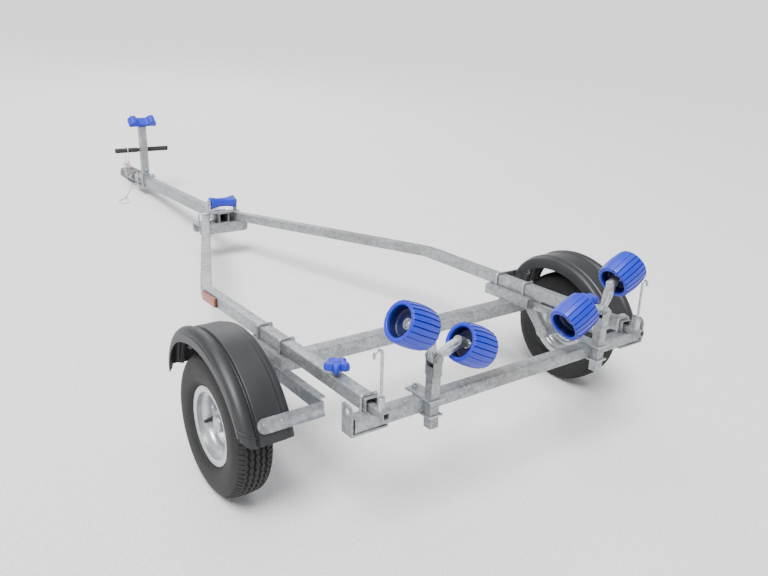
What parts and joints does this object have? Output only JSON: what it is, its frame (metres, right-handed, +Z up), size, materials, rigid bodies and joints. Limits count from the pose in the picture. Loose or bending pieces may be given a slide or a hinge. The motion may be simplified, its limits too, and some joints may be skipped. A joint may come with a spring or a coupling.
{
  "type": "boat trailer",
  "caption": "Light galvanised boat trailer with swinging ribbed rollers, a keel roller, a bow snubber post and a ball coupling, parked nose down.",
  "frame": {"origin": "middle of the parked trailer's box, on the ground", "axes": "+X forward to the coupling, +Y to the left, +Z up; the trailer is tipped nose down about Y as it parks"},
  "size_m": [3.5482, 1.572, 0.7071],
  "materials": {
    "galvanised": "hot-dip galvanised, dull silver with a spangle",
    "bright_zinc": "bright zinc plate",
    "rim_silver": "silver paint, satin",
    "tyre_rubber": "black tyre rubber",
    "roller_blue": "blue non-marking roller rubber, satin",
    "moulded_blue": "blue moulding, satin",
    "guard_black": "black moulded plastic, fine grain",
    "grip_black": "black ribbed rubber",
    "coupling_grey": "dark grey passivated pressed steel",
    "reflector_amber": "amber reflex lens",
    "cable_cover": "clear sleeve over thin steel rope"
  },
  "bodies": {
    "frame": {"drawbar": "galvanised", "side_rail_left": "galvanised", "side_rail_right": "galvanised", "front_channel": "galvanised", "front_clamps": "bright_zinc", "axle_beam": "galvanised", "axle_saddle_left": "galvanised", "axle_saddle_right": "galvanised", "axle_clamps_left": "bright_zinc", "axle_clamps_right": "bright_zinc", "suspension_arm_left": "galvanised", "suspension_arm_right": "galvanised", "rear_crossmember": "galvanised", "rear_clamps": "bright_zinc", "lashing_plate_left": "galvanised", "lashing_plate_right": "galvanised", "mudguard_left": "guard_black", "mudguard_right": "guard_black", "guard_stays_left": "bright_zinc", "guard_stays_right": "bright_zinc", "keel_bracket": "galvanised", "keel_pin": "bright_zinc", "winch_post": "galvanised", "post_clamp": "galvanised", "bow_snubber": "moulded_blue", "pull_handle": "grip_black", "handle_grips": "grip_black", "coupling_body": "coupling_grey", "coupling_lever": "galvanised", "cable_anchor": "bright_zinc", "lower_cable": "cable_cover", "cable_eye": "cable_cover", "upper_cable": "cable_cover", "cable_clip": "bright_zinc", "roller_stem_left": "galvanised", "roller_stem_right": "galvanised", "stem_clamp_left": "galvanised", "stem_clamp_right": "galvanised", "star_knob_left": "moulded_blue", "star_knob_right": "moulded_blue", "side_reflector_left": "reflector_amber", "side_reflector_right": "reflector_amber"},
    "wheel_left": {"tyre_left": "tyre_rubber", "rim_left": "rim_silver", "hub_left": "bright_zinc"},
    "wheel_right": {"tyre_right": "tyre_rubber", "rim_right": "rim_silver", "hub_right": "bright_zinc"},
    "keel_roller": {"keel_roller": "roller_blue"},
    "swing_left": {"swing_arm_left": "bright_zinc"},
    "swing_right": {"swing_arm_right": "bright_zinc"},
    "outer_roller_left": {"roller_outer_left": "roller_blue"},
    "inner_roller_left": {"roller_inner_left": "roller_blue"},
    "outer_roller_right": {"roller_outer_right": "roller_blue"},
    "inner_roller_right": {"roller_inner_right": "roller_blue"},
    "light_bar_left": {"light_carrier_left": "galvanised", "light_rod_left": "bright_zinc"},
    "light_bar_right": {"light_carrier_right": "galvanised", "light_rod_right": "bright_zinc"}
  },
  "joints": [
    {"name": "wheel_left_spin", "type": "hinge", "parent": "frame", "child": "wheel_left", "pos_m": [-1.30649, 0.715, 0.21], "axis": [0, 1, 0], "continuous": true},
    {"name": "wheel_right_spin", "type": "hinge", "parent": "frame", "child": "wheel_right", "pos_m": [-1.30649, -0.715, 0.21], "axis": [0, 1, 0], "continuous": true},
    {"name": "keel_roller_spin", "type": "hinge", "parent": "frame", "child": "keel_roller", "pos_m": [0.29188, 0, 0.27721], "axis": [0, 1, 0], "continuous": true},
    {"name": "swing_left_tilt", "type": "hinge", "parent": "frame", "child": "swing_left", "pos_m": [-1.71658, 0.33, 0.53614], "axis": [0.9929, 0, -0.119], "range_deg": [-20, 10]},
    {"name": "outer_roller_left_spin", "type": "hinge", "parent": "swing_left", "child": "outer_roller_left", "pos_m": [-1.70427, 0.40526, 0.63886], "axis": [0.0522, 0.8988, 0.4353], "continuous": true},
    {"name": "inner_roller_left_spin", "type": "hinge", "parent": "swing_left", "child": "inner_roller_left", "pos_m": [-1.71606, 0.20213, 0.5405], "axis": [0.0522, 0.8988, 0.4353], "continuous": true},
    {"name": "light_bar_left_slide", "type": "slide", "parent": "frame", "child": "light_bar_left", "axis": [-0.9929, 0, 0.119], "range_m": [0, 0.14]},
    {"name": "swing_right_tilt", "type": "hinge", "parent": "frame", "child": "swing_right", "pos_m": [-1.71658, -0.33, 0.53614], "axis": [-0.9929, 0, 0.119], "range_deg": [-20, 10]},
    {"name": "outer_roller_right_spin", "type": "hinge", "parent": "swing_right", "child": "outer_roller_right", "pos_m": [-1.70427, -0.40526, 0.63886], "axis": [0.0522, -0.8988, 0.4353], "continuous": true},
    {"name": "inner_roller_right_spin", "type": "hinge", "parent": "swing_right", "child": "inner_roller_right", "pos_m": [-1.71606, -0.20213, 0.5405], "axis": [0.0522, -0.8988, 0.4353], "continuous": true},
    {"name": "light_bar_right_slide", "type": "slide", "parent": "frame", "child": "light_bar_right", "axis": [-0.9929, 0, 0.119], "range_m": [0, 0.14]}
  ]
}
